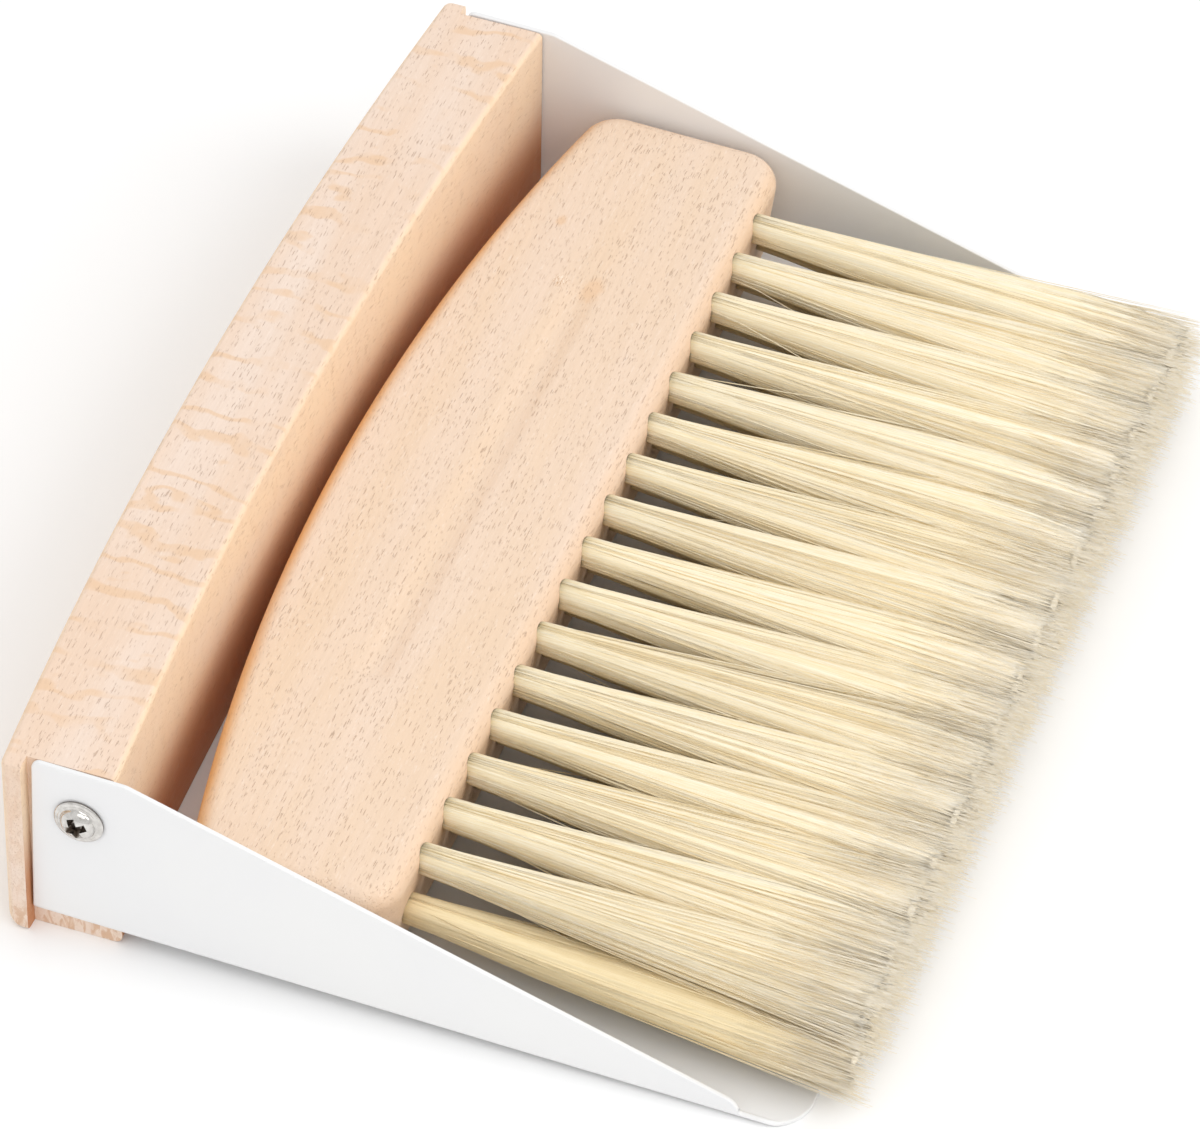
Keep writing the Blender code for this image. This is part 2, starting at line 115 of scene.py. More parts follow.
# Bristle tufts.
HOLE_RADIUS = 3.0 * MM
HOLE_DEPTH = 8.0 * MM
HOLE_RISE = 4.0 * MM  # how far the hole's cutter stands out of the wood
HOLE_SIDES = 40
BUNDLE_RADIUS = 2.8 * MM
UPPER_HEIGHT = 20.4 * MM
LOWER_HEIGHT = 13.0 * MM
BRISTLE_TIP = 160.5 * MM
UPPER_TIP_HEIGHT = 16.6 * MM
LOWER_TIP_HEIGHT = 7.6 * MM
FIBRES = 480
FIBRE_STEPS = 9
FIBRE_SIDES = 3
FIBRE_RADIUS = 0.09 * MM
FIBRE_ROOT = -4.0 * MM  # a fibre starts this deep in its hole
FAN_SIDE = 0.088  # how fast a tuft widens, each side
FAN_TALL = 0.037
FAN_LIMIT = 104.0 * MM  # beyond this far across, the end tufts are held in
FAN_HELD = 0.4  # by this share of what is beyond
LOCKS = 14  # groups of fibres in a tuft that lean the same way
LOCK_LEAN = 0.13
FIBRE_LEAN = 0.12
STRAY_SHARE = 0.007  # of the fibres, which stick out
STRAY_LEAN = 1.3
WAVE = 0.22 * MM  # how far a fibre waves off its line
RAGGED = 5.0 * MM  # how much shorter the shortest fibres are
CORE_SIDES = 420
CORE_LOCKS = 21
CORE_SQUARENESS = 0.72
CORE_CAP = 0.958  # height of the core's flat end, as a share of the tuft's length
CORE_CAP_WIDTH = 0.75  # its width, as a share of the core's
LOWER_ROW_SHADE = 0.35  # multiplies the tone of the lower tufts: painted shade, deeper in colour, as they lie under the upper row

# Colours.
BLOCK_PALE = (0.87, 0.71, 0.60)
BLOCK_WARM = (0.85, 0.64, 0.49)
# painted warm shade for the block's faces turned back and front
BLOCK_SIDE_SHADE = (0.93, 0.70, 0.48)
BRUSH_PALE = (0.85, 0.66, 0.515)
BRUSH_WARM = (0.84, 0.63, 0.455)
# painted warm shade for the brush's faces turned back and front
BRUSH_SIDE_SHADE = (0.83, 0.46, 0.19)
WOOD_FLECK = (0.93, 0.78, 0.66)
WOOD_RING = (0.66, 0.40, 0.24)
# painted shade low on the block's front face
LOW_FRONT_SHADE = (0.55, 0.22, 0.09)
WOOD_BAND = (0.80, 0.52, 0.30)
WOOD_PORE = (0.62, 0.39, 0.25)
KNOT_TAN = (0.80, 0.54, 0.34)
FLAKE_DARK = (0.48, 0.25, 0.10)
FLAKE_PALE = (1.0, 0.87, 0.72)
COAT_COOL = (0.835, 0.835, 0.84)
COAT_WARM = (0.855, 0.852, 0.845)
NICKEL_BRIGHT = (0.74, 0.72, 0.69)
NICKEL_DULL = (0.58, 0.56, 0.53)
# painted shade in the screw's recess
NICKEL_RECESS_SHADE = (0.075, 0.052, 0.036)
STRAW_DEEP = (0.95, 0.79, 0.49)
STRAW_PALE = (0.98, 0.90, 0.72)
STRAW_TIP = (0.955, 0.90, 0.80)
STRAW_ROOT = (0.62, 0.52, 0.28)
STRAW_STREAK = (0.88, 0.71, 0.40)
FLOOR_TONES = ((0.965, 0.965, 0.965), (0.975, 0.975, 0.975))

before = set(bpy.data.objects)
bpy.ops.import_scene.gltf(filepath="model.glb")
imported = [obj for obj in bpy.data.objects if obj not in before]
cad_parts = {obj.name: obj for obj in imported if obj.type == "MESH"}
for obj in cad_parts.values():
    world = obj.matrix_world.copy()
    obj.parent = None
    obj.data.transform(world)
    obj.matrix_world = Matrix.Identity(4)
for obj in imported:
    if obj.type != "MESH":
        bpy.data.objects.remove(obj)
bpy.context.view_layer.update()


# ---------------------------------------------------------------- node helpers


class Nodes:
    """A small writer of node trees: each call adds one node and returns it or its output."""

    def __init__(self, material):
        material.use_nodes = True
        self.tree = material.node_tree
        self.tree.nodes.clear()

    def add(self, kind, **settings):
        made = self.tree.nodes.new(kind)
        for name, value in settings.items():
            setattr(made, name, value)
        return made

    def feed(self, node, socket, value):
        if isinstance(value, bpy.types.NodeSocket):
            self.tree.links.new(value, node.inputs[socket])
        else:
            node.inputs[socket].default_value = value

    def stretched(self, scale, offset=(0, 0, 0)):
        """Object coordinates in millimetres, scaled along each axis."""
        place = self.add("ShaderNodeMapping")
        self.feed(place, "Vector", self.add("ShaderNodeTexCoord").outputs["Object"])
        self.feed(place, "Scale", tuple(s / MM for s in scale))
        self.feed(place, "Location", offset)
        return place.outputs["Vector"]

    def noise(self, vector, detail=3.0, roughness=0.5, distortion=0.0):
        made = self.add("ShaderNodeTexNoise")
        self.feed(made, "Vector", vector)
        self.feed(made, "Scale", 1.0)
        self.feed(made, "Detail", detail)
        self.feed(made, "Roughness", roughness)
        self.feed(made, "Distortion", distortion)
        return made.outputs["Fac"]

    def ramp(self, value, low, high, to_low=0.0, to_high=1.0):
        made = self.add("ShaderNodeMapRange", interpolation_type="SMOOTHSTEP")
        self.feed(made, "Value", value)
        self.feed(made, "From Min", low)
        self.feed(made, "From Max", high)
        self.feed(made, "To Min", to_low)
        self.feed(made, "To Max", to_high)
        return made.outputs["Result"]

    def maths(self, operation, a, b=0.0):
        made = self.add("ShaderNodeMath", operation=operation)
        self.feed(made, 0, a)
        self.feed(made, 1, b)
        return made.outputs[0]

    def mix(self, share, a, b, blend="MIX"):
        made = self.add("ShaderNodeMix", data_type="RGBA", blend_type=blend)
        self.feed(made, 0, share)
        self.feed(made, 6, a if isinstance(a, bpy.types.NodeSocket) else (*a, 1.0))
        self.feed(made, 7, b if isinstance(b, bpy.types.NodeSocket) else (*b, 1.0))
        return made.outputs[2]

    def bump(self, height, strength, distance, normal=None):
        made = self.add("ShaderNodeBump")
        self.feed(made, "Height", height)
        self.feed(made, "Strength", strength)
        self.feed(made, "Distance", distance)
        if normal is not None:
            self.feed(made, "Normal", normal)
        return made.outputs["Normal"]

    def surface(self, **inputs):
        shader = self.add("ShaderNodeBsdfPrincipled")
        for name, value in inputs.items():
            self.feed(shader, name.replace("_", " "), value)
        out = self.add("ShaderNodeOutputMaterial")
        self.tree.links.new(shader.outputs["BSDF"], out.inputs["Surface"])
        return shader


# ---------------------------------------------------------------- materials


def dashes(nodes, length, width, offset, share):
    """Short dark strokes along X: pores opened by the surface. Returns 1 inside a stroke."""
    cell = nodes.add("ShaderNodeTexVoronoi", voronoi_dimensions="3D", feature="F1")
    vector = nodes.stretched((1.0 / length, 1.0 / width, 1.0 / width), offset)
    nodes.feed(cell, "Vector", vector)
    nodes.feed(cell, "Scale", 1.0)
    stroke = nodes.ramp(cell.outputs["Distance"], 0.12, 0.28, 1.0, 0.0)
    tint = nodes.add("ShaderNodeSeparateColor")
    nodes.feed(tint, "Color", cell.outputs["Color"])
    kept = nodes.ramp(tint.outputs["Red"], share, share + 0.25, 1.0, 0.0)
    return nodes.maths("MULTIPLY", stroke, kept)


def knot(nodes, colour, centre, radii, torn_off):
    """A burr in the wood: a soft tan patch.

    Where torn_off is not 0, dark and pale torn flakes lie that far behind it.
    """
    sizes = [1.0 / (radius / MM) for radius in radii] + [0.0]
    spot = nodes.stretched(sizes, tuple(-c / MM * size for c, size in zip(centre, sizes)))
    warp = nodes.noise(nodes.stretched((0.5, 0.5, 0.5)), 3.0, 0.6)
    away = nodes.add("ShaderNodeVectorMath", operation="LENGTH")
    nodes.feed(away, 0, spot)
    reach = nodes.maths("ADD", away.outputs["Value"], nodes.maths("MULTIPLY", warp, 0.9))
    patch = nodes.ramp(reach, 0.85, 1.6, 0.78, 0.0)
    colour = nodes.mix(patch, colour, KNOT_TAN)
    if torn_off == 0.0:
        return colour
    across = -0.6 * centre.x / MM
    along = -0.6 * (centre.y + torn_off) / MM
    place = nodes.stretched((0.6, 0.6, 0.0), (across, along, 0.0))
    near = nodes.add("ShaderNodeVectorMath", operation="LENGTH")
    nodes.feed(near, 0, place)
    beside = nodes.ramp(nodes.maths("ADD", near.outputs["Value"], warp), 1.0, 1.9, 1.0, 0.0)
    flakes = nodes.noise(nodes.stretched((0.75, 1.7, 0.8), (4.0, 0.0, 0.0)), 3.0, 0.7, 1.6)
    dark = nodes.maths("MULTIPLY", nodes.ramp(flakes, 0.55, 0.60), beside)
    pale = nodes.maths("MULTIPLY", nodes.ramp(flakes, 0.40, 0.46, 1.0, 0.0), beside)
    colour = nodes.mix(nodes.maths("MULTIPLY", dark, 0.8), colour, FLAKE_DARK)
    return nodes.mix(nodes.maths("MULTIPLY", pale, 0.6), colour, FLAKE_PALE)


def beech(name, pale, warm, tan, side_shade_shares, pore_share, banded=False, knots=()):
    """Steamed beech: soft tone drift, fine grain along X, short pores, painted warm shade on the rear
    and front faces.

    The two shares are how strongly painted warm shade is laid on the rear and the front faces.
    A banded board also has painted shade low on its front face and thin wavy cross bands on top;
    knots are (centre, radii, torn_off).
    """
    material = bpy.data.materials.new(name)
    nodes = Nodes(material)
    facing = nodes.add("ShaderNodeSeparateXYZ")
    nodes.feed(facing, "Vector", nodes.add("ShaderNodeTexCoord").outputs["Normal"])
    drift = nodes.noise(nodes.stretched((0.010, 0.07, 0.07)), 3.0)
    colour = nodes.mix(nodes.ramp(drift, 0.35, 0.66), pale, warm)
    grain = nodes.noise(nodes.stretched((0.05, 1.5, 1.5), (3.0, 1.0, 2.0)), 4.0, 0.6)
    deep = tuple(0.86 * c for c in warm)
    colour = nodes.mix(nodes.ramp(grain, 0.3, 0.75, 0.0, 0.32), colour, deep)
    fleck = nodes.noise(nodes.stretched((0.45, 2.2, 2.2), (9.0, 2.0, 4.0)), 3.0, 0.65)
    colour = nodes.mix(nodes.ramp(fleck, 0.56, 0.72, 0.0, 0.45), colour, WOOD_FLECK)
    # Painted warm shade: faces turned to the back or front, where brush and block face each other,
    # take the colour of shade and of light bounced off the wood.
    rear = nodes.ramp(facing.outputs["Y"], 0.12, 0.85, 0.0, side_shade_shares[0])
    front = nodes.ramp(facing.outputs["Y"], -0.85, -0.12, side_shade_shares[1], 0.0)
    side = nodes.maths("MAXIMUM", rear, front)
    blotch = nodes.noise(nodes.stretched((0.03, 0.2, 0.09), (2.0, 6.0, 1.0)), 3.0)
    side = nodes.maths("MULTIPLY", side, nodes.ramp(blotch, 0.3, 0.62, 0.65, 1.0))
    colour = nodes.mix(side, colour, tan)
    rings = nodes.noise(nodes.stretched((0.2, 0.75, 0.30), (6.0, 3.0, 2.0)), 3.0, 0.6, 0.8)
    end = nodes.ramp(nodes.maths("ABSOLUTE", facing.outputs["X"]), 0.80, 0.96)
    place = nodes.add("ShaderNodeSeparateXYZ")
    nodes.feed(place, "Vector", nodes.add("ShaderNodeTexCoord").outputs["Object"])
    # Real end-grain rings, laid on heavier near the foot as painted shade.
    foot = nodes.ramp(place.outputs["Z"], 3 * MM, 9 * MM, 0.75, 0.22)
    end = nodes.maths("MULTIPLY", end, foot)
    end = nodes.maths("MULTIPLY", end, nodes.ramp(rings, 0.46, 0.60))
    colour = nodes.mix(end, colour, WOOD_RING)
    if banded:
        # Painted shade: the front face darkens towards its foot, behind the brush.
        low = nodes.ramp(place.outputs["Z"], 10 * MM, 30 * MM, 0.95, 0.0)
        low = nodes.maths("MULTIPLY", low, nodes.ramp(facing.outputs["Y"], -0.8, -0.3, 1.0, 0.0))
        colour = nodes.mix(low, colour, LOW_FRONT_SHADE)
        wave = nodes.add("ShaderNodeTexWave", wave_type="BANDS", bands_direction="X")
        nodes.feed(wave, "Vector", nodes.stretched((0.036, 0.020, 0.020), (1.0, 2.0, 0.0)))
        nodes.feed(wave, "Scale", 1.0)
        nodes.feed(wave, "Distortion", 9.0)
        nodes.feed(wave, "Detail", 3.0)
        nodes.feed(wave, "Detail Scale", 2.2)
        nodes.feed(wave, "Detail Roughness", 0.6)
        patch = nodes.noise(nodes.stretched((0.05, 0.10, 0.10), (1.0, 9.0, 4.0)), 3.0)
        share = nodes.maths("MULTIPLY", nodes.ramp(wave.outputs["Fac"], 0.70, 1.0),
                            nodes.ramp(patch, 0.36, 0.60))
        on_top = nodes.ramp(facing.outputs["Z"], 0.5, 0.9, 0.10, 0.55)
        share = nodes.maths("MULTIPLY", share, on_top)
        colour = nodes.mix(share, colour, WOOD_BAND)
    for centre, radii, torn_off in knots:
        colour = knot(nodes, colour, centre, radii, torn_off)
    short = dashes(nodes, 4.0, 0.42, (0.0, 0.0, 0.0), pore_share)
    fine = dashes(nodes, 2.0, 0.32, (13.0, 5.0, 8.0), pore_share)
    pores = nodes.maths("MAXIMUM", short, nodes.maths("MULTIPLY", fine, 0.7))
    crowd = nodes.noise(nodes.stretched((0.04, 0.25, 0.25), (5.0, 5.0, 1.0)), 2.0)
    pores = nodes.maths("MULTIPLY", pores, nodes.ramp(crowd, 0.3, 0.65, 0.45, 1.0))
    colour = nodes.mix(nodes.maths("MULTIPLY", pores, 0.5), colour, WOOD_PORE)
    height = nodes.maths("SUBTRACT", nodes.maths("MULTIPLY", grain, 0.6), pores)
    normal = nodes.bump(height, 0.75, 0.18 * MM)
    rough = nodes.ramp(grain, 0.2, 0.8, 0.5, 0.62)
    nodes.surface(Base_Color=colour, Roughness=rough, Normal=normal, Specular_IOR_Level=0.5)
    return material


def powder_coat():
    """White powder coat: a very fine orange-peel texture with a soft sheen."""
    material = bpy.data.materials.new("white_powder_coat")
    nodes = Nodes(material)
    peel = nodes.noise(nodes.stretched((0.9, 0.9, 0.9)), 2.0, 0.5)
    speck = nodes.noise(nodes.stretched((4.0, 4.0, 4.0)), 2.0, 0.6)
    cloud = nodes.noise(nodes.stretched((0.02, 0.02, 0.02)), 2.0)
    colour = nodes.mix(nodes.ramp(cloud, 0.3, 0.7), COAT_COOL, COAT_WARM)
    height = nodes.maths("ADD", peel, nodes.maths("MULTIPLY", speck, 0.25))
    normal = nodes.bump(height, 0.12, 0.05 * MM)
    rough = nodes.ramp(speck, 0.2, 0.8, 0.36, 0.46)
    nodes.surface(Base_Color=colour, Roughness=rough, Normal=normal, Specular_IOR_Level=0.4)
    return material


def nickel():
    """Bright nickel plating with faint turning marks, with painted shade in its recess and creases.
    """
    material = bpy.data.materials.new("nickel_plate")
    nodes = Nodes(material)
    blotch = nodes.noise(nodes.stretched((0.8, 0.8, 0.8)), 3.0)
    colour = nodes.mix(nodes.ramp(blotch, 0.3, 0.7), NICKEL_BRIGHT, NICKEL_DULL)
    # Painted shade: the cross recess and the crease round the dome go dark where ambient occlusion
    # finds them enclosed.
    open_side = nodes.add("ShaderNodeAmbientOcclusion", samples=8)
    nodes.feed(open_side, "Distance", 2.2 * MM)
    recess_shade = nodes.ramp(open_side.outputs["AO"], 0.50, 0.90, 0.93, 0.0)
    colour = nodes.mix(recess_shade, colour, NICKEL_RECESS_SHADE)
    fine = nodes.noise(nodes.stretched((6.0, 6.0, 6.0)), 2.0)
    rough = nodes.ramp(fine, 0.25, 0.75, 0.10, 0.18)
    normal = nodes.bump(fine, 0.06, 0.02 * MM)
    nodes.surface(Base_Color=colour, Roughness=rough, Normal=normal, Metallic=1.0)
    return material


def straw():
    """Bristle fibres: each its own tone of straw, deeper in the lower row as painted shade, darker at
    its hole and paler at its tip.
    """
    material = bpy.data.materials.new("bristle_straw")
    nodes = Nodes(material)
    tone = nodes.add("ShaderNodeAttribute", attribute_name="fibre_tone").outputs["Fac"]
    run = nodes.add("ShaderNodeAttribute", attribute_name="fibre_run").outputs["Fac"]
    colour = nodes.mix(nodes.ramp(tone, 0.0, 1.0), STRAW_DEEP, STRAW_PALE)
    colour = nodes.mix(nodes.ramp(run, 0.66, 1.0, 0.0, 0.75), colour, STRAW_TIP)
    colour = nodes.mix(nodes.ramp(run, 0.036, 0.056, 0.45, 0.0), colour, STRAW_ROOT)
    streak = nodes.noise(nodes.stretched((5.5, 0.05, 5.5)), 3.0, 0.6)
    colour = nodes.mix(nodes.ramp(streak, 0.45, 0.66, 0.0, 0.6), colour, STRAW_STREAK)
    rough = nodes.ramp(streak, 0.2, 0.8, 0.42, 0.55)
    normal = nodes.bump(streak, 0.55, 0.13 * MM)
    nodes.surface(Base_Color=colour, Roughness=rough, Normal=normal, Specular_IOR_Level=0.3)
    return material


# ---------------------------------------------------------------- mesh helpers


def new_object(name, mesh, material):
    made = bpy.data.objects.new(name, mesh)
    bpy.context.scene.collection.objects.link(made)
    made.data.materials.clear()
    made.data.materials.append(material)
    return made


def mesh_of(name, bm):
    """A mesh of the bmesh, its faces turned outwards."""
    mesh = bpy.data.meshes.new(name)
    bm.normal_update()
    bmesh.ops.recalc_face_normals(bm, faces=bm.faces)
    bm.to_mesh(mesh)
    bm.free()
    return mesh


def prism(outline, low, high):
    """A bmesh prism: the flat (x, y) outline from z = low to z = high."""
    bm = bmesh.new()
    ring = [bm.verts.new((x, y, low)) for x, y in outline]
    face = bm.faces.new(ring)
    made = bmesh.ops.extrude_face_region(bm, geom=[face])
    moved = [v for v in made["geom"] if isinstance(v, bmesh.types.BMVert)]
    bmesh.ops.translate(bm, verts=moved, vec=(0, 0, high - low))
    bmesh.ops.recalc_face_normals(bm, faces=bm.faces)
    return bm


def arc(centre, radius, start, end, steps):
    points = []
    for i in range(steps + 1):
        angle = math.radians(start + (end - start) * i / steps)
        points.append((centre[0] + radius * math.cos(angle), centre[1] + radius * math.sin(angle)))
    return points


def bow_at(half, middle, end, x):
    """The Y at x of a shallow arc whose Y is middle at the centre and end at both ends."""
    rise = end - middle
    radius = (half * half + rise * rise) / (2.0 * rise)
    return middle + radius - math.copysign(math.sqrt(radius * radius - x * x), radius)


def bow(half, middle, end, steps):
    """Points of that arc from -half to +half."""
    places = [-half + 2.0 * half * i / steps for i in range(steps + 1)]
    return [(x, bow_at(half, middle, end, x)) for x in places]


def rounded(corners, radii, steps=12):
    """A closed outline with each of its corners rounded to its own radius (0 keeps it sharp)."""
    points = []
    count = len(corners)
    for i, (corner, radius) in enumerate(zip(corners, radii)):
        here = Vector(corner)
        if radius <= 0.0:
            points.append(tuple(here))
            continue
        before = (Vector(corners[i - 1]) - here).normalized()
        after = (Vector(corners[(i + 1) % count]) - here).normalized()
        half_angle = 0.5 * before.angle(after)
        reach = radius / math.tan(half_angle)
        centre = here + (before + after).normalized() * (radius / math.sin(half_angle))
        first = here + before * reach - centre
        last = here + after * reach - centre
        turn = math.atan2(first.x * last.y - first.y * last.x, first.dot(last))
        for k in range(steps + 1):
            spin = Matrix.Rotation(turn * k / steps, 2)
            points.append(tuple(centre + spin @ first))
    return points


def round_rim(bm, width, segments, angle=50.0):
    """Rounds every edge whose two faces turn by more than the angle."""
    limit = math.radians(angle)
    edges = [e for e in bm.edges if len(e.link_faces) == 2 and e.calc_face_angle() > limit]
    bmesh.ops.bevel(bm, geom=edges, offset=width, segments=segments, profile=0.5, affect="EDGES",
                    clamp_overlap=False)


def round_edges(obj, widths, segments):
    """Rounds each edge by widths(first corner, second corner)."""
    ends = [[obj.data.vertices[i].co for i in edge.vertices] for edge in obj.data.edges]
    wanted = [widths(*pair) for pair in ends]
    weights = obj.data.attributes.new("bevel_weight_edge", "FLOAT", "EDGE")
    weights.data.foreach_set("value", [width / max(wanted) for width in wanted])
    made = obj.modifiers.new("round_edges", "BEVEL")
    made.limit_method = "WEIGHT"
    made.width = max(wanted)
    made.segments = segments
    made.use_clamp_overlap = False
    bake_modifiers(obj)


def bake_modifiers(obj):
    """Puts what the modifiers make into the object's own mesh."""
    bpy.context.view_layer.update()
    graph = bpy.context.evaluated_depsgraph_get()
    mesh = bpy.data.meshes.new_from_object(obj.evaluated_get(graph))
    obj.modifiers.clear()
    obj.data = mesh


def carve(obj, cutters):
    """Subtracts each cutter mesh (in the object's own space) from the object."""
    helpers = []
    for i, mesh in enumerate(cutters):
        helper = bpy.data.objects.new(f"{obj.name}_cutter_{i}", mesh)
        bpy.context.scene.collection.objects.link(helper)
        helper.matrix_world = obj.matrix_world
        made = obj.modifiers.new(helper.name, "BOOLEAN")
        made.operation = "DIFFERENCE"
        made.solver = "MANIFOLD"
        made.object = helper
        helpers.append(helper)
    bake_modifiers(obj)
    for helper in helpers:
        bpy.data.objects.remove(helper, do_unlink=True)


def finish_shading(obj, angle=38.0):
    """Smooth shading with crisp creases; large flat faces keep their own normal."""
    for face in obj.data.polygons:
        face.use_smooth = True
    obj.data.set_sharp_from_angle(angle=math.radians(angle))
    weighted = obj.modifiers.new("weighted_normals", "WEIGHTED_NORMAL")
    weighted.keep_sharp = True
    weighted.weight = 80
    bake_modifiers(obj)


def box_mesh(low, high, place):
    """A box between two corners, then put in its place."""
    bm = bmesh.new()
    bmesh.ops.create_cube(bm, size=1.0)
    bmesh.ops.scale(bm, vec=[b - a for a, b in zip(low, high)], verts=bm.verts)
    bmesh.ops.translate(bm, vec=[0.5 * (a + b) for a, b in zip(low, high)], verts=bm.verts)
    bm.transform(place)
    return mesh_of("box", bm)


def rod_mesh(radius, low, high, sides, place):
    """A rod along Z from low to high, then put in its place."""
    bm = bmesh.new()
    bmesh.ops.create_cone(bm, cap_ends=True, segments=sides, radius1=radius, radius2=radius,
                          depth=high - low)
    bmesh.ops.translate(bm, vec=(0, 0, 0.5 * (low + high)), verts=bm.verts)
    bm.transform(place)
    return mesh_of("rod", bm)


# ---------------------------------------------------------------- where things stand

PITCH = math.asin(PAN_LIFT / PAN_LIP)
REAR_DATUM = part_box("pan_tray")[1].y - PAN_REAR * math.cos(PITCH)
PAN = Matrix.Translation((0, REAR_DATUM, 0))
TRAY = Matrix.Translation((0, REAR_DATUM, PAN_LIFT)) @ Matrix.Rotation(PITCH, 4, "X")
BRUSH = Matrix.Translation((0, REAR_DATUM, PAN_LIFT + BRUSH_RISE)) @ Matrix.Rotation(PITCH, 4, "X")


# ---------------------------------------------------------------- sheet pan


def fold(point):
    """Where a point of the flat blank lies once both plates are bent up.

    The point is (across, along, over the mid-plane).
    """
    across, along, over = point
    side = math.copysign(1.0, across)
    across = abs(across)
    start = PAN_HALF - FOLD_RADIUS
    middle = FOLD_RADIUS - 0.5 * SHEET
    turn = min(max((across - start) / middle, 0.0), 0.5 * math.pi)
    reach = middle - over
    x = min(across, start) + reach * math.sin(turn)
    z = FOLD_RADIUS - reach * math.cos(turn)
    z += max(0.0, across - start - 0.5 * math.pi * middle)
    return Vector((side * x, along, z))


def blank_outline():
    """The flat blank as (across, -depth): plates left and right, lip towards -Y."""
    start = PAN_HALF - FOLD_RADIUS
    bend = 0.5 * math.pi * (FOLD_RADIUS - 0.5 * SHEET)
    top = start + bend + PLATE_HEIGHT - FOLD_RADIUS
    nose = top - (PLATE_NOSE - PLATE_LEVEL) * PLATE_SLOPE
    edge = start + bend - RELIEF_INSET
    half = [(top, PAN_REAR), (top, -PLATE_LEVEL), (nose, -PLATE_NOSE), (edge, -PLATE_NOSE),
            (edge, -PAN_LIP)]
    radii = [REAR_TOP_RADIUS, KNEE_RADIUS, NOSE_RADIUS, RELIEF_RADIUS, LIP_RADIUS]
    corners = half + [(-x, y) for x, y in half[::-1]]
    return rounded(corners, radii + radii[::-1])


def build_pan(material):
    bm = prism(blank_outline(), -0.5 * SHEET, 0.5 * SHEET)
    round_rim(bm, RIM_ROUND, 4)
    start = PAN_HALF - FOLD_RADIUS
    bend = 0.5 * math.pi * (FOLD_RADIUS - 0.5 * SHEET)
    for side in (-1, 1):
        for k in range(FOLD_STEPS + 1):
            cut = side * (start + bend * k / FOLD_STEPS)
            geometry = bm.verts[:] + bm.edges[:] + bm.faces[:]
            bmesh.ops.bisect_plane(bm, geom=geometry, dist=1e-7, plane_co=(cut, 0, 0),
                                   plane_no=(1, 0, 0))
    for vert in bm.verts:
        vert.co = TRAY @ fold(vert.co)
    pan = new_object("sheet_pan", mesh_of("sheet_pan", bm), material)
    holes = []
    for side in (-1, 1):
        spot = TRAY @ Matrix.Translation((side * PAN_HALF, -SCREW_DEPTH, SCREW_HEIGHT))
        spot = spot @ Matrix.Rotation(math.radians(90), 4, "Y")
        holes.append(rod_mesh(SHANK_RADIUS + GAP, -3 * MM, 3 * MM, 48, spot))
    carve(pan, holes)
    finish_shading(pan)
    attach(pan, "pan")
    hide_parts("pan_tray")


# ---------------------------------------------------------------- handle block


def block_rounding(first, second):
    """How far the edge between two corners of the plain block is rounded."""
    upright = abs(first.z - second.z) > 0.5 * BLOCK_HEIGHT
    lengthwise = abs(first.x - second.x) > 0.5 * MM
    behind = first.y > 0.0 and second.y > 0.0
    if upright and abs(first.x) < BLOCK_HALF - 0.5 * MM:
        return 0.0
    if upright and behind:
        return BLOCK_REAR_CORNER
    if lengthwise and first.z < 0.5 * BLOCK_HEIGHT:
        return BLOCK_FOOT_EDGE if behind else BLOCK_TOE_EDGE
    return BLOCK_EDGE


def build_block(material):
    rear = [(x, -y) for x, y in bow(BLOCK_HALF, -BLOCK_BACK_MIDDLE, -BLOCK_BACK_END, ARC_STEPS)]
    front = [(x, -y) for x, y in bow(BLOCK_HALF, BLOCK_FRONT_MIDDLE, BLOCK_FRONT_END, ARC_STEPS)]
    bm = prism(rear + front[::-1], 0.0, BLOCK_HEIGHT)
    for vert in bm.verts:
        if vert.co.y < 0.0 and vert.co.z < 0.5 * BLOCK_HEIGHT:
            vert.co.y = -bow_at(BLOCK_HALF, BLOCK_TOE_MIDDLE, BLOCK_TOE_END, vert.co.x)
    block = new_object("block_of_beech", mesh_of("block_of_beech", bm), material)
    round_edges(block, block_rounding, 6)
    block.data.transform(PAN)
    rebate_face = PAN_HALF - SHEET - GAP
    reach = BLOCK_HALF + CUT_PAST
    deep = -BLOCK_FRONT_END - CUT_PAST
    cuts = []
    for side in (-1, 1):
        low = (rebate_face, deep, -CUT_PAST)
        high = (reach, PAN_REAR + GAP, BLOCK_HEIGHT + CUT_PAST)
        if side < 0:
            low, high = (-high[0], low[1], low[2]), (-low[0], high[1], high[2])
        cuts.append(box_mesh(low, high, PAN))
        outside = side * (rebate_face + 1 * MM)
        spot = TRAY @ Matrix.Translation((outside, -SCREW_DEPTH, SCREW_HEIGHT))
        spot = spot @ Matrix.Rotation(side * math.radians(-90), 4, "Y")
        cuts.append(rod_mesh(SHANK_RADIUS + GAP, -1 * MM, SHANK_LENGTH + 1 * MM, 32, spot))
    cuts.append(box_mesh((-reach, deep, -GAP), (reach, PAN_REAR + GAP, SHEET + GAP), TRAY))
    carve(block, cuts)
    finish_shading(block)
    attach(block, "pan")
    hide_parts("pan_handle_block")


# ---------------------------------------------------------------- screws


